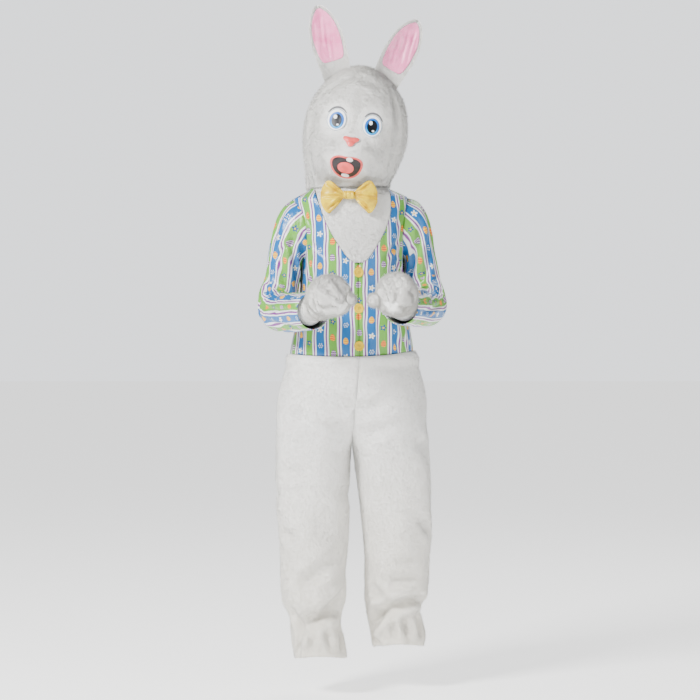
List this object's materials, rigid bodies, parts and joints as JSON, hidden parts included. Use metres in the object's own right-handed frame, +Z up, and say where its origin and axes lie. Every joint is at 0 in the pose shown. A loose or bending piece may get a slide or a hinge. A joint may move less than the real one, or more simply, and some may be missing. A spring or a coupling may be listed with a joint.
{
  "type": "bunny costume",
  "caption": "Bunny costume in the pose of wear: striped satin top on plush trousers, mascot head, bow tie and plush mitts, all hollow and open where worn.",
  "frame": {"origin": "between the wearer's shoulders, at shoulder height in the middle of the body, where the costume is carried", "axes": "+Z up, +X towards the wearer's left, -Y towards the front"},
  "size_m": [0.4294, 0.4609, 1.5],
  "materials": {
    "striped_satin": "printed satin, stripes of blue, green, white and purple",
    "white_plush": "short off-white plush",
    "pink_satin": "shiny pink satin",
    "yellow_satin": "shiny yellow satin",
    "yellow_plastic": "glossy moulded plastic",
    "eye_vinyl": "printed glossy vinyl",
    "salmon_vinyl": "soft satin-finish vinyl",
    "black_vinyl": "matte black vinyl",
    "white_vinyl": "white vinyl"
  },
  "bodies": {
    "root": {"top_front_right": "striped_satin", "top_front_left": "striped_satin", "top_back_right": "striped_satin", "top_back_left": "striped_satin", "sleeve_right": "striped_satin", "sleeve_left": "striped_satin", "bib": "white_plush", "leg_front_right": "white_plush", "leg_front_left": "white_plush", "leg_back_right": "white_plush", "leg_back_left": "white_plush", "face": "white_plush", "hood_right": "white_plush", "hood_left": "white_plush", "ear_right": "white_plush", "ear_left": "white_plush", "mitt_right": "white_plush", "mitt_left": "white_plush", "thumb_right": "white_plush", "thumb_left": "white_plush", "ear_lining_right": "pink_satin", "ear_lining_left": "pink_satin", "bow_right": "yellow_satin", "bow_left": "yellow_satin", "bow_knot": "yellow_satin", "button_top": "yellow_plastic", "button_middle": "yellow_plastic", "button_bottom": "yellow_plastic", "eye_right": "eye_vinyl", "eye_left": "eye_vinyl", "nose": "salmon_vinyl", "mouth": "salmon_vinyl", "tongue": "salmon_vinyl", "mouth_inner": "black_vinyl", "teeth_upper": "white_vinyl", "teeth_lower": "white_vinyl"}
  },
  "joints": []
}
